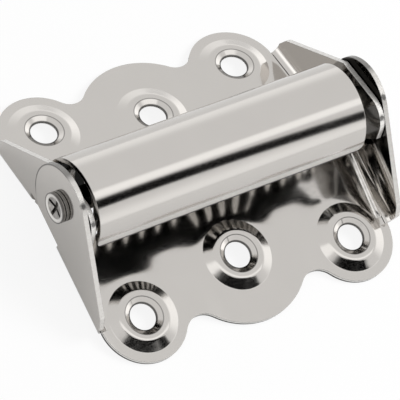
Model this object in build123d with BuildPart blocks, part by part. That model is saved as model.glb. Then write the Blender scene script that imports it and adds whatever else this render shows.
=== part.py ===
from build123d import *
import os
from math import acos, asin, atan2, cos, degrees, hypot, radians, sin, sqrt, tan

# Full-surface spring hinge: two stamped leaves, a riveted pin and a torsion spring under a hood
os.makedirs("parts", exist_ok=True)

# Sheet and pin
sheet = 1.1                 # thickness of both stampings
pin_radius = 2.5            # shank of the rivet
pin_clearance = 0.05        # radial running clearance in the inner ears
pin_drop = 10.35            # from the pin axis to a leaf's face
leaf_tilt = 9.7             # each leaf droops this far past flat when the spring is relaxed
bend_radius = 2.4           # inside radius where an ear turns up

# Ears
ear_face = 36.7             # from the middle to the outer face of the front leaf's ears
ear_gap = 0.2               # side play between a front ear and the back ear inside it
boss_radius = 8.7           # round top of the front ears, about the pin
toe_height = 2.4            # tip of an ear's toe above its bend
toe_lean = 1.5              # how far the toe leans back to its tip
toe_round = 1.5
inner_edge_gap = 7.55       # from the pin axis to the sloping edge of the back ears
inner_top = 5.35            # flat top of the back ears above the pin axis
inner_nose = 9.5            # nose of the back ears ahead of the pin axis
nose_round = 5.0
nose_cut = 2.0              # where the nose's lower cut starts, below the pin axis

# Scalloped panels
front_pitch = 50.8          # outer screw holes of the front leaf
back_pitch = 46.7           # outer screw holes of the back leaf
leaf_reach = 33.8           # free edge of a leaf, measured out from the pin
lobe_radius = 9.5           # scallop round an outer hole
middle_lobe_radius = 15.2   # scallop round the middle hole
middle_hole_edge = 14.4     # from the free edge in to the middle hole
front_notch = 4.5           # fillet between two scallops of the front leaf
back_notch = 3.5            # the same on the back leaf
front_inner_edge = 5.4      # inner edge of the front panel, clear of the barrel when folded

# Raised screw pads
pad_radius = 7.5            # foot of the raised pad
pad_rise = 0.85             # its flat top above the leaf's face
pad_slope = 20.5            # the cone between foot and top, in degrees
pad_shoulder = 2.0          # rounding where the cone turns level
pad_margin = 0.2            # flat rim that joins the pad to its panel
screw_radius = 2.8
sink_radius = 4.05          # mouth of the countersink
sink_depth = 0.8

# Hood over the spring, folded from the back leaf
hood_radius = 9.7           # outer radius
hood_ahead = 0.6            # hood axis ahead of the pin axis
hood_below = 0.4            # hood axis below the pin axis
hood_left = 33.8            # reach of the hood from the middle, towards the pin's head
hood_right = 30.2           # reach towards the pin's tail, leaving room for the spring's leg
hood_lip = 17.0             # the free edge ends this far below the hood axis, in degrees
hood_corner = 2.2
hood_bend = 1.2             # inside radius at the foot of the hood

# Pin head and tail
head_radius = 3.2
head_height = 1.25          # both ends of the rivet stand this far off the ears
head_collar = 0.3           # thickness of the collar against the ear
head_neck = 0.3             # width of the groove between collar and rim
neck_depth = 0.45
head_rim = 0.4              # flat ring round the dished end
dish_depth = 0.55
cross_length = 4.4
cross_width = 0.75
cross_depth = 0.4
tail_radius = 3.2
tail_round = 0.8

# Torsion spring
wire_radius = 0.95
coil_gap = 0.53             # from the coil to the inside of the hood, where they are nearest
coil_turns = 17
coil_end_gap = 0.3          # from an end coil to the back ear beside it
right_leg_gap = 0.7         # from the right leg to the back ear beside it
leg_reach = 23.0            # tip of the right leg, measured out from the pin
leg_seat = 0.25             # the leg's tip stands this far above its panel
left_leg_gap = 0.3          # from the tip of the left leg to the hood's wall
elbow_swell = 0.05          # the wire thickens this much where a leg turns out of the coil

# Derived places
tilt = radians(leaf_tilt)
outer_reach = leaf_reach - lobe_radius
middle_lobe_reach = leaf_reach - middle_lobe_radius
middle_reach = leaf_reach - middle_hole_edge
toe_reach = outer_reach
pin_height = leaf_reach * sin(tilt) + (pin_drop + sheet) * cos(tilt)
back_ear_face = ear_face - sheet - ear_gap
front_flat = ear_face - sheet - bend_radius
back_flat = back_ear_face - sheet - bend_radius
root_level = bend_radius - pin_drop
toe_tip = (toe_reach - toe_lean, root_level + toe_height)
hood_wall = hood_radius - hood_ahead
back_inner_edge = hood_wall + hood_bend
hood_clear = hood_radius - sheet - hypot(hood_ahead, hood_below)
coil_radius = hood_clear - coil_gap - wire_radius

# Each leaf has its own frame on the pin axis: x along the pin, y out across the leaf, z off its face
front_frame = Plane(origin=(0, 0, pin_height), x_dir=(-1, 0, 0), z_dir=(0, -sin(tilt), cos(tilt)))
back_frame = Plane(origin=(0, 0, pin_height), x_dir=(1, 0, 0), z_dir=(0, sin(tilt), cos(tilt)))


def across(frame, x):
    """Plane square to the pin at x, drawn with y out across the leaf and z up."""
    return Plane(origin=frame.from_local_coords((x, 0, 0)), x_dir=frame.y_dir, z_dir=frame.x_dir)


def along(frame, reach):
    """Plane square to the leaf at a reach, looking back at the pin."""
    return Plane(origin=frame.from_local_coords((0, reach, 0)), x_dir=frame.x_dir, z_dir=-frame.y_dir)


def pad_plane(frame, x, reach):
    """Plane through the axis of a screw hole, with its origin on the leaf's face."""
    centre = frame.from_local_coords((x, reach, -pin_drop))
    return Plane(origin=centre, x_dir=frame.y_dir, z_dir=frame.x_dir)


def notch_centre(pitch, notch):
    """Centre of the fillet that touches an outer scallop and the middle one."""
    dx = pitch / 2
    dy = outer_reach - middle_lobe_reach
    span = hypot(dx, dy)
    near = lobe_radius + notch
    far = middle_lobe_radius + notch
    run = (span**2 + near**2 - far**2) / (2 * span)
    rise = sqrt(near**2 - run**2)
    return (dx - (run * dx + rise * dy) / span, outer_reach - (run * dy - rise * dx) / span)


def panel(pitch, notch, flat, inner_edge):
    """Scalloped outline of a leaf, added to the sketch that is open."""
    x, y = notch_centre(pitch, notch)
    with Locations((-pitch / 2, outer_reach), (pitch / 2, outer_reach)):
        Circle(lobe_radius)
    with Locations((0, middle_lobe_reach)):
        Circle(middle_lobe_radius)
    for side in (-1, 1):
        with BuildLine() as web:
            Polyline((side * pitch / 2, outer_reach), (side * x, y), (0, middle_lobe_reach), close=True)
        make_face(web.edges())
    with Locations((-x, y), (x, y)):
        Circle(notch, mode=Mode.SUBTRACT)
    with Locations((0, toe_reach)):
        Rectangle(2 * ear_face, 2 * ear_face, align=(Align.CENTER, Align.MAX), mode=Mode.SUBTRACT)
    with Locations((0, inner_edge)):
        Rectangle(2 * flat, toe_reach - inner_edge, align=(Align.CENTER, Align.MIN))


def ear_bends(flat):
    """Section of the two quarter turns at the ends of a leaf."""
    for side, align in ((-1, Align.MAX), (1, Align.MIN)):
        with BuildSketch(mode=Mode.PRIVATE) as turn:
            Circle(bend_radius + sheet)
            Circle(bend_radius, mode=Mode.SUBTRACT)
            Rectangle(2 * bend_radius + 2 * sheet, 2 * bend_radius + 2 * sheet,
                      align=(align, Align.MAX), mode=Mode.INTERSECT)
        with Locations((side * flat, root_level)):
            add(turn.sketch)


def tangent_point(radius):
    """Where the straight free edge from an ear's toe touches a circle about the pin."""
    turn = atan2(toe_tip[1], toe_tip[0]) + acos(radius / hypot(*toe_tip))
    return (radius * cos(turn), radius * sin(turn))


def pad_section():
    """Half section of a raised, countersunk pad, from the hole's wall to its flat rim."""
    slope = radians(pad_slope)
    rim = pad_radius + pad_margin
    under = sheet * tan(slope / 2)
    shoulder = (pad_radius - pad_rise / tan(slope), pad_rise)
    with BuildLine() as outline:
        Polyline((screw_radius, pad_rise - sheet), (screw_radius, pad_rise - sink_depth),
                 (sink_radius, pad_rise), shoulder, (pad_radius, 0), (rim, 0), (rim, -sheet),
                 (pad_radius - under, -sheet), (shoulder[0] - under, pad_rise - sheet), close=True)
    pad = make_face(outline.edges())
    fillet(pad.vertices().sort_by_distance(shoulder)[0], pad_shoulder)


def hole_places(pitch):
    return [(-pitch / 2, outer_reach), (pitch / 2, outer_reach), (0, middle_reach)]


# The front leaf: its ears stand outside the back leaf's and carry the rivet
with BuildPart() as front_leaf:
    with BuildSketch(front_frame.offset(-pin_drop - sheet)):
        panel(front_pitch, front_notch, front_flat, front_inner_edge)
        with Locations(*hole_places(front_pitch)):
            Circle(pad_radius + pad_margin, mode=Mode.SUBTRACT)
    extrude(amount=sheet)
    with BuildSketch(along(front_frame, toe_reach)):
        ear_bends(front_flat)
    extrude(amount=toe_reach - front_inner_edge)
    with BuildSketch(across(front_frame, ear_face - sheet), across(front_frame, -ear_face)):
        with BuildLine():
            Polyline((0, 0), tangent_point(boss_radius), toe_tip, (toe_reach, root_level), (0, root_level),
                     close=True)
        ear = make_face()
        fillet(ear.vertices().sort_by_distance(toe_tip)[0], toe_round)
        Circle(boss_radius)
        with Locations((0, root_level)):
            Rectangle(2 * ear_face, ear_face, align=(Align.CENTER, Align.MAX), mode=Mode.SUBTRACT)
        Circle(pin_radius, mode=Mode.SUBTRACT)
    extrude(amount=sheet)
    for x, reach in hole_places(front_pitch):
        spot = pad_plane(front_frame, x, reach)
        with BuildSketch(spot):
            pad_section()
        revolve(axis=Axis(spot.origin, spot.y_dir))
front_leaf.part.label = "front_leaf"
export_step(front_leaf.part, "parts/front_leaf.step")

# The back leaf: one stamping with its ears and the hood that covers the spring
with BuildPart() as back_leaf:
    with BuildSketch(back_frame.offset(-pin_drop - sheet)):
        panel(back_pitch, back_notch, back_flat, back_inner_edge)
        with Locations(*hole_places(back_pitch)):
            Circle(pad_radius + pad_margin, mode=Mode.SUBTRACT)
    extrude(amount=sheet)
    with BuildSketch(along(back_frame, toe_reach)):
        ear_bends(back_flat)
    extrude(amount=toe_reach - back_inner_edge)
    with BuildSketch(across(back_frame, back_ear_face - sheet), across(back_frame, -back_ear_face)):
        touch = tangent_point(inner_edge_gap)
        brow = touch[0] + (touch[1] - inner_top) * touch[1] / touch[0]
        with BuildLine():
            Polyline(toe_tip, (brow, inner_top), (nose_round - inner_nose, inner_top))
            CenterArc((nose_round - inner_nose, inner_top - nose_round), nose_round, 90, 90)
            Polyline((-inner_nose, inner_top - nose_round), (-inner_nose, -nose_cut),
                     (-inner_nose - nose_cut - root_level, root_level), (toe_reach, root_level), toe_tip)
        ear = make_face()
        fillet(ear.vertices().sort_by_distance(toe_tip)[0], toe_round)
        Circle(pin_radius + pin_clearance, mode=Mode.SUBTRACT)
    extrude(amount=sheet)
    with BuildSketch(across(back_frame, -hood_left)):
        with BuildLine() as fold:
            hub = (-hood_ahead, -hood_below)
            CenterArc(hub, hood_radius - sheet / 2, 0, 180 + hood_lip)
            Line((hood_wall - sheet / 2, -hood_below), (hood_wall - sheet / 2, hood_bend - pin_drop))
            CenterArc((back_inner_edge, hood_bend - pin_drop), hood_bend + sheet / 2, 180, 90)
        trace(line_width=sheet)
    extrude(amount=hood_left + hood_right)
    lip = radians(180 + hood_lip)
    lip_reach = hub[0] + (hood_radius - sheet / 2) * cos(lip)
    lip_level = hub[1] + (hood_radius - sheet / 2) * sin(lip)
    for x in (-hood_left, hood_right):
        corner = back_frame.from_local_coords((x, lip_reach, lip_level))
        fillet(back_leaf.edges().sort_by_distance(corner)[0], hood_corner)
    for x, reach in hole_places(back_pitch):
        spot = pad_plane(back_frame, x, reach)
        with BuildSketch(spot):
            pad_section()
        revolve(axis=Axis(spot.origin, spot.y_dir))
back_leaf.part.label = "back_leaf"
export_step(back_leaf.part, "parts/back_leaf.step")

# The pin: a rivet with a dished, cross-marked head at the left and a peened tail at the right
with BuildPart() as hinge_pin:
    with BuildSketch(Plane(origin=(0, 0, pin_height), x_dir=(1, 0, 0), z_dir=(0, -1, 0))):
        head_face = -ear_face - head_height
        collar = -ear_face - head_collar
        neck = collar - head_neck
        with BuildLine():
            Polyline((head_face + dish_depth, 0), (head_face, head_radius - head_rim),
                     (head_face, head_radius), (neck, head_radius), (neck, head_radius - neck_depth),
                     (collar, head_radius - neck_depth), (collar, head_radius), (-ear_face, head_radius),
                     (-ear_face, pin_radius), (ear_face, pin_radius), (ear_face, tail_radius),
                     (ear_face + head_height, tail_radius), (ear_face + head_height, 0), close=True)
        rivet = make_face()
        fillet(rivet.vertices().sort_by_distance((ear_face + head_height, tail_radius))[0], tail_round)
    revolve(axis=Axis((0, 0, pin_height), (1, 0, 0)))
    with BuildSketch(Plane(origin=(head_face, 0, pin_height), x_dir=(0, 1, 0), z_dir=(1, 0, 0))):
        Rectangle(cross_length, cross_width)
        Rectangle(cross_width, cross_length)
    extrude(amount=dish_depth + cross_depth, mode=Mode.SUBTRACT)
hinge_pin.part.label = "hinge_pin"
export_step(hinge_pin.part, "parts/hinge_pin.step")

# The torsion spring: wound left-handed so that folding the leaves winds it tighter
leg_rise = asin((pin_drop - wire_radius - leg_seat) / hypot(leg_reach, pin_drop - wire_radius - leg_seat))
leg_fall = leg_rise - asin(coil_radius / hypot(leg_reach, pin_drop - wire_radius - leg_seat))
leg_droop = tilt + leg_fall
leg_length = sqrt(leg_reach**2 + (pin_drop - wire_radius - leg_seat)**2 - coil_radius**2)
coil_start = wire_radius + coil_end_gap + sheet - back_ear_face
coil_end = back_ear_face - sheet - right_leg_gap - wire_radius
coil_pitch = (coil_end - coil_start) / (coil_turns - 2 * degrees(leg_droop) / 360)
left_leg = hood_wall - sheet - left_leg_gap
left_length = (left_leg + (coil_radius - wire_radius) * sin(leg_fall)) / cos(leg_fall)


def coil_plane(x, side):
    """Plane at an end coil, square to the leg that leaves it; side is -1 to the front, 1 to the back."""
    centre = (x, -side * coil_radius * sin(leg_droop), pin_height - coil_radius * cos(leg_droop))
    return Plane(origin=centre, x_dir=(1, 0, 0), z_dir=(0, side * cos(leg_droop), -sin(leg_droop)))


with BuildLine() as winding:
    Helix(coil_pitch, coil_end - coil_start, coil_radius, lefthand=True)
left_end = coil_plane(coil_start, 1)
right_end = coil_plane(coil_end, -1)
coil_frame = Plane(origin=(coil_start, 0, pin_height), z_dir=(1, 0, 0),
                   x_dir=(0, -sin(leg_droop), -cos(leg_droop)))
coil = coil_frame.location * winding.line

with BuildPart() as torsion_spring:
    with BuildSketch(Plane(origin=coil @ 0, z_dir=coil % 0)):
        Circle(wire_radius)
    sweep(path=coil, is_frenet=True)
    for bend, length in ((left_end, left_length), (right_end, leg_length)):
        with Locations(bend):
            Sphere(wire_radius + elbow_swell)
        with BuildSketch(bend):
            Circle(wire_radius)
        extrude(amount=length)
torsion_spring.part.label = "torsion_spring"
export_step(torsion_spring.part, "parts/torsion_spring.step")
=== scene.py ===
import math

import bpy
import numpy as np
from mathutils import Matrix, Vector


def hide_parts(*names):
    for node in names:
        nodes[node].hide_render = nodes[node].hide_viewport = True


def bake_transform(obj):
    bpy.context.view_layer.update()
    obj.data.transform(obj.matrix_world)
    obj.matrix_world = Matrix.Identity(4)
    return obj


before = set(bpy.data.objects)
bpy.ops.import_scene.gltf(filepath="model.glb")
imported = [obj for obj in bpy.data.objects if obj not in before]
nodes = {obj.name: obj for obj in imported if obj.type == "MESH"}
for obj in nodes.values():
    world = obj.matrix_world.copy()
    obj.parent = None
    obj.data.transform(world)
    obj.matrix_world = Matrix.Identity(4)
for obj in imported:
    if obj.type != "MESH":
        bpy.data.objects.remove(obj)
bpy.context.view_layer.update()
scene = bpy.context.scene
scene.view_settings.view_transform = "Standard"

# Sizes in metres, as in the part's source
PIN_HEIGHT = 0.0169812
PIN_DROP = 0.01035
LEAF_TILT = math.radians(9.7)
TILT_COS = math.cos(LEAF_TILT)
TILT_SIN = math.sin(LEAF_TILT)
SHEET = 0.0011
EAR_FACE = 0.0367
EAR_INSIDE = 0.0343
BOSS = 0.0087
PAD_FOOT = 0.0075
SCREW_HOLE = 0.0028
SINK = 0.00405
OUTER_REACH = 0.0243
MIDDLE_REACH = 0.0194
FRONT_PADS = ((-0.0254, OUTER_REACH), (0.0254, OUTER_REACH), (0.0, MIDDLE_REACH))
BACK_PADS = ((-0.02335, OUTER_REACH), (0.02335, OUTER_REACH), (0.0, MIDDLE_REACH))
HOOD_RADIUS = 0.0097
HOOD_AHEAD = 0.0006
HOOD_BELOW = 0.0004
HOOD_AXIS = (-0.00066, PIN_HEIGHT - 0.00029)  # the two above, turned by the leaf's tilt
HOOD_LEFT = 0.0338
HOOD_RIGHT = 0.0302

# The spring: a coil under the hood, a long leg on the front leaf and a short one at the hood's wall
WIRE = 0.00095
COIL_GAP = 0.00053
COIL = HOOD_RADIUS - SHEET - math.hypot(HOOD_AHEAD, HOOD_BELOW) - COIL_GAP - WIRE
COIL_START = -0.03305
COIL_END = 0.03265
TURNS = 17
LEG_REACH = 0.023
LEG_SEAT = 0.00025
LEG_LEVEL = PIN_DROP - WIRE - LEG_SEAT
LEG_FAR = math.hypot(LEG_REACH, LEG_LEVEL)
LEG_FALL = math.asin(LEG_LEVEL / LEG_FAR) - math.asin(COIL / LEG_FAR)
LEG_DROOP = LEAF_TILT + LEG_FALL
RIGHT_LEG = math.sqrt(LEG_FAR**2 - COIL**2)
LEFT_TIP = 0.0077
LEFT_LEG = (LEFT_TIP + (COIL - WIRE) * math.sin(LEG_FALL)) / math.cos(LEG_FALL)
WIRE_SIDES = 14
TURN_STEPS = 40
LEFT_STEPS = 6
RIGHT_STEPS = 14
END_INSET = 0.22
END_SIZE = 0.72

# Tints and gloss of the plating, and its painted shade and painted highlights
NICKEL = (0.562, 0.54, 0.514)
LEAF_GLOSS = 0.115
PIN_NICKEL = (0.58, 0.56, 0.53)
PIN_GLOSS = 0.16
DEEP_SHADE = (0.05, 0.049, 0.047)
SHADE_LINE = (0.08, 0.078, 0.075)
EDGE_SHADE = (0.16, 0.155, 0.15)
CUT_HIGHLIGHT = (0.8, 0.785, 0.76)
HOOD_SHADE = (0.02, 0.02, 0.019)
LIP_SHADE = (0.03, 0.03, 0.029)
LIP_SHADE_LINE = (0.04, 0.039, 0.038)
LIP_LIGHT = (0.72, 0.7, 0.675)
GAP_SHEEN = (0.1, 0.1, 0.1, 1)
DISH_SHADE = (0.22, 0.21, 0.2)
CROSS_SHADE = (0.32, 0.31, 0.295)
GROOVE_SHADE = (0.06, 0.058, 0.055)
COLLAR_SHADE = (0.2, 0.195, 0.185)
RING_HIGHLIGHT = (0.8, 0.78, 0.75)
WIRE_TINTS = ((0.56, 0.54, 0.515, 1), (0.42, 0.405, 0.385, 1))
WHITE = (1, 1, 1, 1)

# Sheared edges, and painted shade on the faces between the ears, of the front leaf, -1, and the
# back leaf, 1. The back leaf's ear edges are painted near white, as painted light.
EDGE = {-1: (0.68, 0.665, 0.64), 1: (0.92, 0.905, 0.88)}
EDGE_MATT = {-1: 0.4, 1: 0.8}
GAP_SHADE = {-1: (0.018, 0.018, 0.017), 1: DEEP_SHADE}

# Dark spots painted on the ears' edges, as painted shade
FRONT_SHADE_SPOTS = ((-0.03615, -0.00483, 0.02422), (0.03615, -0.00483, 0.02422))
BACK_SHADE_SPOTS = ((-0.03485, -0.00793, 0.0216), (0.03485, -0.00793, 0.0216))
SHADE_SPOT_ENDS = (0.00125, 0.00085)
SHADE_SPOT_RAGGED = 0.0009

# Scales of the noises, per metre, and how they are drawn out along the pin
CLOUD_SCALE = 160.0
GRAIN_SCALE = 2600.0
GRAIN_STRETCH = (0.35, 1.0, 1.0)
SHEAR_SCALE = 5200.0
SHEAR_STRETCH = (0.12, 1.0, 1.0)
SHADE_SPOT_SCALE = 2400.0
BLOTCH_SCALE = 900.0
SPOT_SCALE = 700.0
LINE_SCALE = 30.0
LINE_STRETCH = (0.05, 1.0, 1.0)

# How the noises act: the range of each that counts, what it does there, and its bump's strength
# and height in metres
CLOUD_TINT = (0.35, 0.7)
CLOUD_SHADE = 0.985
CLOUD_HAZE = (0.45, 0.7)
HAZE_ROUGH = 0.2
CLOUD_BUMP = (0.04, 0.00012)
GRAIN_ENDS = (0.3, 0.75)
GRAIN_ROUGH = (0.8, 1.25)
SHEAR_ENDS = (0.4, 0.7)
SHEAR_SHARES = (0.7, 0.2)
SHEAR_BUMP = (0.3, 0.0001)
BLOTCH_ENDS = (0.35, 0.65)
BLOTCH_SHARES = (0.25, 0.8)
SPOT_ENDS = (0.4, 0.75)
LINE_ENDS = (0.3, 0.7)
LINE_ROUGH = (0.14, 0.3)
LINE_BUMP = (0.15, 0.00003)
EDGE_ROUND = 0.00018

# Ramps of masks on the leaves: the value where a mask is 0, then the value where it is 1
CORNER_TURN = (0.99, 0.85)
FACE_SQUARE = (0.9, 0.93)
FACE_REACH = (0.0048, 0.0054)
SWELL_REACH = (0.006, 0.018)
SKIRT_ENDS = (PAD_FOOT + 0.0075, PAD_FOOT)
ABOVE_FACE = (0.0004, 0.0006)
HOLE_RIM = (SCREW_HOLE + 0.00034, SCREW_HOLE + 0.0002)
SINK_RIM = (0.00016, 0.00006)
EAR_ZONE = (EAR_INSIDE - 0.00005, EAR_INSIDE + 0.00005)
EAR_OUTSIDE = (EAR_FACE - 0.0002, EAR_FACE - 0.0004)
EDGE_TURN = (0.35, 0.15)
EAR_EDGE_HEIGHT = (0.0023, 0.0027)
RIM_REACH = (0.0150, 0.0152)
RIM_HEIGHT = (0.0001, -0.00005)
CUT_TOP = (-0.00005, -0.00015)
CUT_BOTTOM = (-0.0007, -0.0005)
GAP_ENDS = (HOOD_RADIUS - 0.35 * SHEET, HOOD_RADIUS - 0.65 * SHEET)
BOSS_LINE = (BOSS - 0.0004, BOSS - 0.0002)
BOSS_BACK = (0.0, 0.002)
BOSS_BOTTOM = (PIN_HEIGHT - 0.006, PIN_HEIGHT - 0.004)
INWARD = (-0.8, -0.9)
UPPER_HALF = (0.012, 0.0135)
HOOD_START = (-HOOD_LEFT - 0.0001, -HOOD_LEFT)
HOOD_STOP = (HOOD_RIGHT + 0.0001, HOOD_RIGHT)
SKIN_UNDER = (HOOD_RADIUS - 0.0002, HOOD_RADIUS - 0.0001)
SKIN_OVER = (HOOD_RADIUS + 0.0003, HOOD_RADIUS + 0.0002)
INSIDE_ENDS = (HOOD_RADIUS - 0.85 * SHEET, HOOD_RADIUS - 0.97 * SHEET)
WALL_TURN = (-0.9, -0.95)
WALL_FRONT = (0.004, 0.005)
WALL_BACK = (0.012, 0.011)
LIP_AHEAD = (-0.004, -0.005)
LIP_UNDER = (HOOD_RADIUS - 0.0001, HOOD_RADIUS - 0.0002)
LIP_TURN = (0.5, 0.3)
DULL_DROP = (0.0024, 0.0006)
LINE_DROP = (-0.0005, -0.0007)

# The same on the rivet: a radius about the pin, or a depth from the ear's outer face
DISH_RADIUS = (0.00285, 0.0027)
DISH_DEPTH = (0.0, -0.0002)
CROSS_RADIUS = (0.0026, 0.0024)
CROSS_DEPTH = ((-0.0006, -0.00045), (0.0003, 0.0001))
GROOVE_RADIUS = (0.0031, 0.0029)
GROOVE_DEPTH = ((-0.00062, -0.00058), (-0.00028, -0.00032))
COLLAR_RADIUS = (0.0031, 0.00315)
COLLAR_DEPTH = ((-0.00036, -0.0003), (0.00002, 0.0))
END_DEPTH = (-0.0006, -0.0008)
RING_RADIUS = ((0.0022, 0.0024), (0.0029, 0.0028))
RIM_RADIUS = (0.00295, 0.00305)

# Strengths of those masks, and the roughness they bring
SWELL_SHARE = 0.75
SWELL_HEIGHT = 0.0004
CORNER_SHARE = 0.6
CORNER_SHADE = 0.15
HOLE_SHARE = 0.9
SINK_SHARE = 0.55
BOSS_SHARE = 0.75
INNER_SHADE_SHARE = 0.85
SMOOTHER = 0.4
EDGE_ROUGH = 0.24
HOOD_ROUGH = 0.12
DULL_ROUGH = 0.42
DULL_MATT = 0.75
INSIDE_ROUGH = 0.45
RIVET_CORNER_SHARE = 0.9
RIVET_CORNER_SHADE = 0.1
DISH_ROUGH = 0.3


class Nodes:
    """Small helper that adds shader nodes and links them."""

    def __init__(self, tree):
        self.tree = tree

    def add(self, kind, inputs=None, **settings):
        node = self.tree.nodes.new("ShaderNode" + kind)
        for key, value in settings.items():
            setattr(node, key, value)
        for key, value in (inputs or {}).items():
            self.set(node.inputs[key], value)
        return node

    def set(self, socket, value):
        if isinstance(value, bpy.types.NodeSocket):
            self.tree.links.new(value, socket)
        else:
            socket.default_value = value

    def math(self, operation, a, b=0.0):
        node = self.add("Math", operation=operation)
        self.set(node.inputs[0], a)
        self.set(node.inputs[1], b)
        return node.outputs[0]

    def times(self, first, *others):
        for other in others:
            first = self.math("MULTIPLY", first, other)
        return first

    def plus(self, a, b):
        return self.math("ADD", a, b)

    def minus(self, a, b):
        return self.math("SUBTRACT", a, b)

    def most(self, a, b):
        return self.math("MAXIMUM", a, b)

    def size(self, a):
        return self.math("ABSOLUTE", a)

    def length(self, a, b):
        return self.math("SQRT", self.plus(self.times(a, a), self.times(b, b)))

    def ramp(self, value, ends, results=(0.0, 1.0), smooth=False):
        """Value turned into a result that changes from the first of two ends to the second."""
        node = self.add("MapRange", clamp=True)
        node.interpolation_type = "SMOOTHSTEP" if smooth else "LINEAR"
        numbers = zip(("From Min", "From Max", "To Min", "To Max"), (*ends, *results))
        self.set(node.inputs["Value"], value)
        for key, number in numbers:
            self.set(node.inputs[key], number)
        return node.outputs["Result"]

    def band(self, value, rise, fall):
        """1 between two ramps and 0 beyond them."""
        return self.times(self.ramp(value, rise), self.ramp(value, fall))

    def mix(self, factor, a, b):
        node = self.add("Mix", data_type="RGBA")
        self.set(node.inputs["Factor"], factor)
        self.set(node.inputs["A"], a)
        self.set(node.inputs["B"], b)
        return node.outputs["Result"]

    def noise(self, vector, scale, detail=2.0, stretch=(1, 1, 1)):
        place = self.add("Mapping", {"Vector": vector, "Scale": stretch}).outputs[0]
        settings = {"Vector": place, "Scale": scale, "Detail": detail}
        return self.add("TexNoise", settings).outputs["Fac"]

    def output(self, kind, shader):
        self.set(self.add("Output" + kind).inputs["Surface"], shader.outputs[0])


def new_material(name):
    material = bpy.data.materials.new(name)
    material.use_nodes = True
    material.node_tree.nodes.clear()
    return material, Nodes(material.node_tree)


def shade(colour, share):
    return tuple(c * share for c in colour)


class Plate:
    """What every plated piece shares: places on it, tint and gloss, and slightly round edges."""

    def __init__(self, name, colour, gloss):
        self.material, self.n = new_material(name)
        n = self.n
        coords = n.add("TexCoord")
        self.place = coords.outputs["Object"]
        self.at = n.add("SeparateXYZ", {"Vector": self.place}).outputs
        self.facing = n.add("SeparateXYZ", {"Vector": coords.outputs["Normal"]}).outputs
        cloud = n.noise(self.place, CLOUD_SCALE, 3.0)
        grain = n.noise(self.place, GRAIN_SCALE, 2.0, GRAIN_STRETCH)
        self.tint = n.mix(n.ramp(cloud, CLOUD_TINT), (*shade(colour, CLOUD_SHADE), 1),
                          (*colour, 1))
        self.rough = n.plus(n.ramp(grain, GRAIN_ENDS, shade(GRAIN_ROUGH, gloss)),
                            n.ramp(cloud, CLOUD_HAZE, (0.0, gloss * HAZE_ROUGH)))
        rounded = n.add("Bevel", {"Radius": EDGE_ROUND}, samples=6).outputs[0]
        flat = n.add("NewGeometry").outputs["True Normal"]
        turn = n.add("VectorMath", {0: rounded, 1: flat}, operation="DOT_PRODUCT")
        self.corner = n.ramp(turn.outputs["Value"], CORNER_TURN)
        self.normal = rounded
        self.sheen = WHITE
        self.bump(cloud, *CLOUD_BUMP)

    def bump(self, height, strength, distance):
        settings = {"Height": height, "Strength": strength, "Distance": distance,
                    "Normal": self.normal}
        self.normal = self.n.add("Bump", settings).outputs[0]

    def paint(self, mask, colour):
        self.tint = self.n.mix(mask, self.tint, (*colour, 1))

    def roughen(self, mask, level):
        self.rough = self.n.most(self.rough, self.n.times(mask, level))

    def away(self, y, z):
        """Distance from an axis along the pin."""
        return self.n.length(self.n.minus(self.at["Y"], y), self.n.minus(self.at["Z"], z))

    def finish(self, metallic=1.0):
        skin = self.n.add("BsdfPrincipled", {
            "Base Color": self.tint, "Roughness": self.rough, "Normal": self.normal,
            "Metallic": metallic, "Specular Tint": self.sheen})
        self.n.output("Material", skin)
        return self.material


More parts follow.
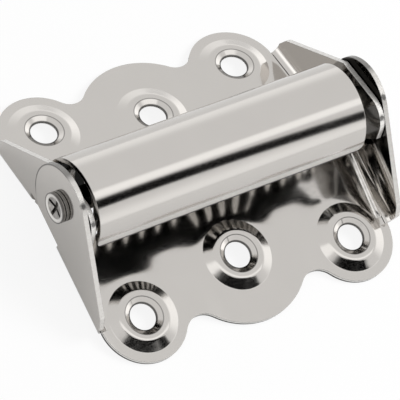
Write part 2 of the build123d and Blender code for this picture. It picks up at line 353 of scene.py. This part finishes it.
class Leaf(Plate):
    """Bright nickel plate on a stamped leaf: near-mirror faces, sheared edges, and painted shade
    and highlights.
    side is -1 for the front leaf and 1 for the back leaf."""

    def __init__(self, name, side, pads, shade_spots):
        super().__init__(name, NICKEL, LEAF_GLOSS)
        n, at, facing = self.n, self.at, self.facing

        # Place in the leaf: reach out from the pin, height above its face, how square to it
        lift = n.minus(at["Z"], PIN_HEIGHT)
        out = n.times(at["Y"], side)
        self.reach = n.minus(n.times(out, TILT_COS), n.times(lift, TILT_SIN))
        self.height = n.plus(n.plus(n.times(out, TILT_SIN), n.times(lift, TILT_COS)), PIN_DROP)
        self.square = n.plus(n.times(facing["Y"], side * TILT_SIN),
                             n.times(facing["Z"], TILT_COS))
        self.outer = n.size(at["X"])
        self.end_zone = n.ramp(self.outer, EAR_ZONE)
        self.from_axis = self.away(*HOOD_AXIS)

        self.swell(pads)
        self.corners_and_holes(pads)
        edge, ear_edge = self.edges(side, shade_spots)
        self.matt = n.times(ear_edge, EDGE_MATT[side])
        self.shade_gap_faces(side, edge)
        if side < 0:
            self.front_ears()
        else:
            self.hood()

    def swell(self, pads):
        """The sheet rises a little towards the pads, which bends what it mirrors by the pin."""
        n = self.n
        rise = n.times(n.ramp(self.reach, SWELL_REACH, smooth=True), SWELL_SHARE)
        for x, y in pads:
            short = n.math("MINIMUM", n.minus(self.reach, y), 0.0)
            skirt = n.ramp(n.length(n.minus(self.at["X"], x), short), SKIRT_ENDS, smooth=True)
            rise = n.plus(n.times(skirt, skirt), rise)
        on_face = n.times(n.ramp(self.square, FACE_SQUARE), n.ramp(self.reach, FACE_REACH))
        self.bump(n.times(rise, on_face), 1.0, SWELL_HEIGHT)

    def corners_and_holes(self, pads):
        """Sharp corners are painted with fine dark lines, and rims of holes and countersinks are
        painted dark, both as painted shade.
        """
        n = self.n
        # Painted shade: fine dark lines along the sharp corners
        above = n.ramp(self.height, ABOVE_FACE, (0.0, CORNER_SHARE))
        self.paint(n.times(self.corner, above), shade(NICKEL, CORNER_SHADE))
        for x, y in pads:
            radius = n.length(n.minus(self.at["X"], x), n.minus(self.reach, y))
            hole_rim = n.ramp(radius, HOLE_RIM, (0.0, HOLE_SHARE))
            sink_rim = n.ramp(n.size(n.minus(radius, SINK)), SINK_RIM, (0.0, SINK_SHARE))
            # Painted shade: the rims of holes and countersinks are painted near black
            self.paint(n.most(hole_rim, sink_rim), DEEP_SHADE)

    def edges(self, side, shade_spots):
        """Sheared edges of the ears, with a normal square to the pin, and of the scallops."""
        n = self.n
        shear = n.noise(self.place, SHEAR_SCALE, 2.0, SHEAR_STRETCH)
        ear_edge = n.times(n.ramp(n.size(self.facing["X"]), EDGE_TURN), self.end_zone,
                           n.ramp(self.height, EAR_EDGE_HEIGHT))
        rim_edge = n.times(n.ramp(n.size(self.square), EDGE_TURN),
                           n.ramp(self.reach, RIM_REACH), n.ramp(self.height, RIM_HEIGHT))
        edge = n.most(ear_edge, rim_edge)
        # Painted light: the back leaf's ear edges get a near-white tint where the outer ears shade
        # them
        self.paint(n.times(ear_edge, n.ramp(shear, SHEAR_ENDS, SHEAR_SHARES)), EDGE[side])
        # Painted shade: the scallops' cut edges are painted dark, with a painted highlight band
        # near their top
        self.paint(rim_edge, SHADE_LINE)
        self.paint(n.times(rim_edge, n.band(self.height, CUT_TOP, CUT_BOTTOM)), CUT_HIGHLIGHT)
        self.roughen(edge, EDGE_ROUGH)
        self.bump(n.times(shear, edge), *SHEAR_BUMP)
        # Painted shade: ragged dark spots on the ears' edges
        for shade_spot in shade_spots:
            gap = n.add("VectorMath", {0: self.place, 1: shade_spot}, operation="DISTANCE")
            uneven = n.times(n.noise(self.place, SHADE_SPOT_SCALE, 2.0), SHADE_SPOT_RAGGED)
            self.paint(n.ramp(n.plus(gap.outputs["Value"], uneven), SHADE_SPOT_ENDS), EDGE_SHADE)
        return edge, ear_edge

    def shade_gap_faces(self, side, edge):
        """Faces that turn against each other beside the hood are painted dark, with their sheen
        lowered, as painted shade.
        """
        n = self.n
        shaded_gap = n.times(n.ramp(self.from_axis, GAP_ENDS), self.end_zone,
                         n.ramp(self.outer, EAR_OUTSIDE), n.minus(1.0, edge))
        # Painted shade in the gap between the ears beside the hood
        self.paint(shaded_gap, GAP_SHADE[side])
        self.sheen = n.mix(shaded_gap, self.sheen, GAP_SHEEN)

    def front_ears(self):
        """A fine painted shadow line runs round the back of each ear's boss. The inner faces are
        smoother, and painted dark in their upper half as painted shade."""
        n, at = self.n, self.at
        # Painted shadow: a fine dark line round the back of each boss
        line = n.times(n.ramp(self.away(0.0, PIN_HEIGHT), BOSS_LINE), n.ramp(at["Y"], BOSS_BACK),
                       n.ramp(at["Z"], BOSS_BOTTOM), BOSS_SHARE)
        self.paint(line, SHADE_LINE)
        inward = n.ramp(n.times(self.facing["X"], n.math("SIGN", at["X"])), INWARD)
        inner_face = n.times(inward, self.end_zone)
        # Painted shade on the upper half of the inner faces
        self.paint(n.times(inner_face, n.ramp(at["Z"], UPPER_HALF), INNER_SHADE_SHARE), DEEP_SHADE)
        self.rough = n.times(self.rough, n.ramp(inner_face, (0.0, 1.0), (1.0, SMOOTHER)))

    def hood(self):
        """The hood is a little satin from its forming, and painted dark inside as painted shade.
        Its free lip is painted dark on its cut face as painted shade, and lower down outside it is
        duller and painted lighter, as painted light, with a fine painted shadow line at the edge."""
        n, at = self.n, self.at
        along_hood = n.band(at["X"], HOOD_START, HOOD_STOP)
        outside = n.times(n.band(self.from_axis, SKIN_UNDER, SKIN_OVER), along_hood)
        self.roughen(outside, HOOD_ROUGH)
        # Painted shade: the inside of the hood and the inner face of its wall are painted near
        # black
        wall = n.times(n.ramp(self.facing["Y"], WALL_TURN), n.band(at["Y"], WALL_FRONT, WALL_BACK))
        inside = n.times(n.most(n.ramp(self.from_axis, INSIDE_ENDS), wall), along_hood)
        self.paint(inside, HOOD_SHADE)

        ahead = n.ramp(at["Y"], LIP_AHEAD)
        lip = n.times(n.ramp(self.from_axis, LIP_UNDER), ahead,
                      n.ramp(n.size(self.facing["X"]), LIP_TURN), along_hood)
        # Painted shade on the lip's cut face
        self.paint(lip, LIP_SHADE)
        drop = n.minus(at["Z"], HOOD_AXIS[1])
        front = n.times(ahead, outside)
        # Painted light: the lower outside of the lip is painted lighter, and made rougher and less
        # metallic
        dull_and_lit = n.times(front, n.ramp(drop, DULL_DROP, smooth=True))
        self.roughen(dull_and_lit, DULL_ROUGH)
        self.paint(dull_and_lit, LIP_LIGHT)
        # Painted shadow line along the lip's lower edge
        self.paint(n.times(front, n.ramp(drop, LINE_DROP)), LIP_SHADE_LINE)
        self.matt = n.plus(self.matt, n.times(dull_and_lit, DULL_MATT))
        self.roughen(inside, INSIDE_ROUGH)

    def finish(self):
        return super().finish(self.n.minus(1.0, self.matt))


def rivet_steel(name):
    """Plated rivet: a dull dish in its head; painted shade, blotchy in the dish, there and in the
    cross, the groove, the collar and along the corners; a painted highlight ring and a painted dark
    rim line on its end.
    """
    plate = Plate(name, PIN_NICKEL, PIN_GLOSS)
    n = plate.n
    depth = n.plus(plate.at["X"], EAR_FACE)
    radius = plate.away(0.0, PIN_HEIGHT)
    blotches = n.ramp(n.noise(plate.place, BLOTCH_SCALE, 3.0), BLOTCH_ENDS, BLOTCH_SHARES)
    dish = n.times(n.ramp(radius, DISH_RADIUS), n.ramp(depth, DISH_DEPTH))
    cross = n.times(n.ramp(radius, CROSS_RADIUS), n.band(depth, *CROSS_DEPTH))
    groove = n.times(n.ramp(radius, GROOVE_RADIUS), n.band(depth, *GROOVE_DEPTH))
    collar = n.times(n.ramp(radius, COLLAR_RADIUS), n.band(depth, *COLLAR_DEPTH))
    on_end = n.ramp(depth, END_DEPTH)
    ring = n.times(n.band(radius, *RING_RADIUS), on_end)
    rim = n.times(n.ramp(radius, RIM_RADIUS), on_end)
    # Painted shade along the rivet's corners and in its dish, cross, groove and collar
    plate.paint(n.times(plate.corner, RIVET_CORNER_SHARE), shade(PIN_NICKEL, RIVET_CORNER_SHADE))
    plate.paint(n.times(dish, blotches), DISH_SHADE)
    plate.paint(cross, CROSS_SHADE)
    plate.paint(groove, GROOVE_SHADE)
    plate.paint(collar, COLLAR_SHADE)
    # Painted highlight: a bright ring on the rivet's end
    plate.paint(ring, RING_HIGHLIGHT)
    # Painted shade: a dark line round the rim of the rivet's end
    plate.paint(rim, EDGE_SHADE)
    plate.roughen(dish, DISH_ROUGH)
    return plate.finish()


def drawn_wire(name):
    """Spring wire: satin steel with fine drawing lines along its length."""
    material, n = new_material(name)
    along = n.add("Attribute", attribute_name="wire_along").outputs["Fac"]
    about = n.add("Attribute", attribute_name="wire_about").outputs["Vector"]
    split = n.add("SeparateXYZ", {"Vector": about}).outputs
    grid = n.add("CombineXYZ", {"X": along, "Y": split["X"], "Z": split["Y"]}).outputs[0]
    lines = n.noise(grid, LINE_SCALE, 3.0, LINE_STRETCH)
    spots = n.noise(n.add("TexCoord").outputs["Object"], SPOT_SCALE, 3.0)
    tint = n.mix(n.ramp(spots, SPOT_ENDS), *WIRE_TINTS)
    rough = n.ramp(lines, LINE_ENDS, LINE_ROUGH)
    strength, height = LINE_BUMP
    bump = n.add("Bump", {"Height": lines, "Strength": strength, "Distance": height}).outputs[0]
    n.output("Material", n.add("BsdfPrincipled", {
        "Base Color": tint, "Roughness": rough, "Normal": bump, "Metallic": 1.0}))
    return material


def dress(name, material):
    mesh = nodes[name].data
    mesh.materials.clear()
    mesh.materials.append(material)


dress("front_leaf", Leaf("nickel_front", -1, FRONT_PADS, FRONT_SHADE_SPOTS).finish())
dress("back_leaf", Leaf("nickel_back", 1, BACK_PADS, BACK_SHADE_SPOTS).finish())
dress("hinge_pin", rivet_steel("nickel_pin"))


def spring_path():
    """Centre line of the wire: a straight leg, the coil and the other leg."""
    sweep = 2 * math.pi * TURNS - 2 * LEG_DROOP
    u = np.linspace(0, 1, TURN_STEPS * TURNS + 1)
    x = COIL_START + (COIL_END - COIL_START) * u
    angle = -math.pi / 2 - LEG_DROOP - sweep * u
    coil = np.stack([x, COIL * np.cos(angle), PIN_HEIGHT + COIL * np.sin(angle)], 1)
    back = np.array([0, math.cos(LEG_DROOP), -math.sin(LEG_DROOP)])
    ahead = np.array([0, -math.cos(LEG_DROOP), -math.sin(LEG_DROOP)])
    left = [coil[0] + back * LEFT_LEG * k / LEFT_STEPS for k in range(LEFT_STEPS, 0, -1)]
    right = [coil[-1] + ahead * RIGHT_LEG * k / RIGHT_STEPS for k in range(1, RIGHT_STEPS + 1)]
    return np.concatenate([left, coil, right])


def new_object(name, mesh, material):
    piece = bpy.data.objects.new(name, mesh)
    mesh.materials.append(material)
    scene.collection.objects.link(piece)
    return piece


def wire_mesh(name, path, radius, sides):
    """Round tube along a path, with rounded-over cut ends and the places its material uses."""
    tangent = np.gradient(path, axis=0)
    tangent /= np.linalg.norm(tangent, axis=1)[:, None]
    across = np.cross(tangent[0], (1.0, 0.0, 0.0))
    run = np.concatenate([[0], np.cumsum(np.linalg.norm(np.diff(path, axis=0), axis=1))])

    # Each ring: the path's point it is at, its size, and its shift along the path
    last = len(path) - 1
    inset = END_INSET * radius
    stations = [(0, END_SIZE, 0.0), (0, 1.0, inset)]
    stations += [(i, 1.0, 0.0) for i in range(1, last)]
    stations += [(last, 1.0, -inset), (last, END_SIZE, 0.0)]
    circle = [(math.cos(a), math.sin(a)) for a in 2 * math.pi * np.arange(sides) / sides]
    points, along = [], []
    for i, size, shift in stations:
        t = tangent[i]
        across = across - t * (across @ t)
        across /= np.linalg.norm(across)
        other = np.cross(t, across)
        centre = path[i] + t * shift
        for c, s in circle:
            points.append(tuple(centre + radius * size * (c * across + s * other)))
            along.append((run[i] + shift) / radius)

    count = len(stations)
    faces = []
    for ring in range(0, (count - 1) * sides, sides):
        for k in range(sides):
            j = (k + 1) % sides
            faces.append((ring + k, ring + j, ring + sides + j, ring + sides + k))
    caps = [tuple(reversed(range(sides))), tuple(range((count - 1) * sides, count * sides))]
    mesh = bpy.data.meshes.new(name)
    mesh.from_pydata(points, [], faces + caps)
    mesh.polygons.foreach_set("use_smooth", [True] * len(faces) + [False] * len(caps))
    about = [(c, s, 0.0) for c, s in circle] * count
    mesh.attributes.new("wire_along", "FLOAT", "POINT").data.foreach_set("value", along)
    mesh.attributes.new("wire_about", "FLOAT_VECTOR", "POINT").data.foreach_set(
        "vector", np.ravel(about))
    mesh.update()
    return mesh


spring = new_object("spring_wire", wire_mesh("spring_wire", spring_path(), WIRE, WIRE_SIDES),
                    drawn_wire("drawn_wire"))
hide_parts("torsion_spring")
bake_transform(spring)


# Stage: how white the floor is for the camera, and for what mirrors it near the part and far off
FLOOR = 3.0
FLOOR_SEEN = 0.88
FLOOR_NEAR = ((0.036, 0.056), (0.2, 0.62))
FLOOR_FAR = ((0.06, 0.5), (0.0, 0.38))
FLOOR_TINTS = ((0.86, 0.86, 0.86, 1), (0.9, 0.9, 0.9, 1))
FLOOR_SCALE = 40.0

# Studio cards: the rows say where along the hood a card is mirrored and at what angle, in degrees
SIGHT_ALONG = 0.482
SIGHT_ACROSS = 0.876
DARK_ROWS = ((-0.17, 24.0), (-0.126, 36.0), (-0.083, 41.5), (-0.03, 40.5),
             (0.0, 46.0), (0.03, 55.0), (0.06, 65.0))
BRIGHT_ROWS = ((-0.2, 8.0), (-0.03, 19.5), (0.12, 27.0))
CARD_HIDDEN_FROM = ("camera", "diffuse", "shadow", "transmission")

# White studio: brighter walls low down, a soft box at each side, and less light for matt faces
WALL_ENDS = (0.5, 0.1)
WALL_GLOW = 0.3
RIGHT_BOX = (0.76, 0.9)
RIGHT_GLOW = 0.5
LEFT_BOX = (-0.68, -0.8)
LEFT_GLOW = 0.6
MATT_LIGHT = 0.55
LAMP_PLACE = (0.4, -0.2, 0.55)
LAMP_SIZE = 0.4
LAMP_WATTS = 3.6

# Camera, fitted to the screw holes, ears and hood of the photograph
INCH = 0.0254
CAMERA_TURN = (2.5562, -0.5914, 0.5720)
CAMERA_SHIFT = (0.1119, -0.3903, 29.4506)
FOCAL_PIXELS = 3761.51
PHOTO_PIXELS = 400
SENSOR = 36.0
CLIP_START = 0.05
CLIP_END = 20.0


def seen_in_mirror(rays, n):
    return n.most(rays["Is Glossy Ray"], rays["Is Transmission Ray"])


def floor_material():
    """A pale floor that goes to white for the camera and for reflections, with a faint shadow."""
    material, n = new_material("pale_floor")
    rays = n.add("LightPath").outputs
    place = n.add("TexCoord").outputs["Object"]
    far = n.add("VectorMath", {0: place}, operation="LENGTH").outputs["Value"]
    matte = n.add("BsdfDiffuse", {"Color": n.mix(n.noise(place, FLOOR_SCALE), *FLOOR_TINTS)})
    glow = n.add("Emission", {"Color": WHITE, "Strength": 1.0})
    by_distance = n.plus(n.ramp(far, *FLOOR_NEAR), n.ramp(far, *FLOOR_FAR))
    white = n.most(n.times(rays["Is Camera Ray"], FLOOR_SEEN),
                   n.times(seen_in_mirror(rays, n), by_distance))
    n.output("Material", n.add("MixShader", {0: white, 1: matte.outputs[0], 2: glow.outputs[0]}))
    return material


def card_material(name, strength, border):
    material, n = new_material(name)
    body = n.add("Attribute", attribute_name="body").outputs["Fac"]
    glow = n.ramp(body, (0.0, 1.0), (border, strength), smooth=True)
    n.output("Material", n.add("Emission", {"Color": WHITE, "Strength": glow}))
    return material


def card(name, strength, border, distance, half, soft, rows):
    """A soft-edged studio card that only the bright metal sees."""
    profile = ((-half - soft, 0.0), (-half, 1.0), (half, 1.0), (half + soft, 0.0))
    points, body = [], []
    for x, middle in rows:
        for off, value in profile:
            angle = math.radians(middle + off)
            ray = Vector((SIGHT_ALONG, -SIGHT_ACROSS * math.sin(angle),
                          SIGHT_ACROSS * math.cos(angle)))
            points.append(tuple(Vector((x, 0, PIN_HEIGHT)) + distance * ray))
            body.append(value)
    wide = len(profile)
    starts = [wide * i + k for i in range(len(rows) - 1) for k in range(wide - 1)]
    mesh = bpy.data.meshes.new(name)
    mesh.from_pydata(points, [], [(s, s + 1, s + wide + 1, s + wide) for s in starts])
    mesh.attributes.new("body", "FLOAT", "POINT").data.foreach_set("value", body)
    piece = new_object(name, mesh, card_material(name, strength, border))
    for kind in CARD_HIDDEN_FROM:
        setattr(piece, "visible_" + kind, False)


floor_mesh = bpy.data.meshes.new("floor")
floor_mesh.from_pydata([(-FLOOR, -FLOOR, 0), (FLOOR, -FLOOR, 0), (FLOOR, FLOOR, 0),
                        (-FLOOR, FLOOR, 0)], [], [(0, 1, 2, 3)])
piece = new_object("floor", floor_mesh, floor_material())
card("dark_card", strength=0.0, border=1.0, distance=0.22, half=8.0, soft=4.0, rows=DARK_ROWS)
card("bright_card", strength=1.5, border=1.0, distance=0.26, half=5.5, soft=4.0, rows=BRIGHT_ROWS)

world = bpy.data.worlds.new("studio")
scene.world = world
world.use_nodes = True
world.node_tree.nodes.clear()
w = Nodes(world.node_tree)
rays = w.add("LightPath").outputs
toward = w.add("SeparateXYZ", {"Vector": w.add("TexCoord").outputs["Generated"]}).outputs
walls = w.ramp(toward["Z"], WALL_ENDS, (0.0, WALL_GLOW), smooth=True)
boxes = w.plus(w.ramp(toward["X"], RIGHT_BOX, (0.0, RIGHT_GLOW), smooth=True),
               w.ramp(toward["X"], LEFT_BOX, (0.0, LEFT_GLOW), smooth=True))
lit = w.times(w.plus(1.0, w.plus(walls, boxes)), seen_in_mirror(rays, w))
shown = w.most(lit, w.most(MATT_LIGHT, rays["Is Camera Ray"]))
w.output("World", w.add("Background", {"Color": WHITE, "Strength": shown}))

lamp_data = bpy.data.lights.new("soft_key", "AREA")
lamp_data.shape = "RECTANGLE"
lamp_data.size = LAMP_SIZE
lamp_data.size_y = LAMP_SIZE
lamp_data.energy = LAMP_WATTS
lamp = bpy.data.objects.new("soft_key", lamp_data)
lamp.location = LAMP_PLACE
lamp.rotation_euler = (-lamp.location).to_track_quat("-Z", "Y").to_euler()
lamp.visible_glossy = False
scene.collection.objects.link(lamp)

turn = Vector(CAMERA_TURN)
to_camera = Matrix.Rotation(turn.length, 3, turn.normalized())
shift = Vector(CAMERA_SHIFT) * INCH
right, down, ahead = to_camera
pose = Matrix((right, -down, -ahead)).transposed().to_4x4()
pose.translation = -(to_camera.transposed() @ shift) + Vector((0, 0, PIN_HEIGHT))
camera = bpy.data.objects.new("camera", bpy.data.cameras.new("camera"))
camera.data.sensor_width = SENSOR
camera.data.lens = FOCAL_PIXELS / PHOTO_PIXELS * SENSOR
camera.data.clip_start = CLIP_START
camera.data.clip_end = CLIP_END
camera.matrix_world = pose
scene.collection.objects.link(camera)
scene.camera = camera
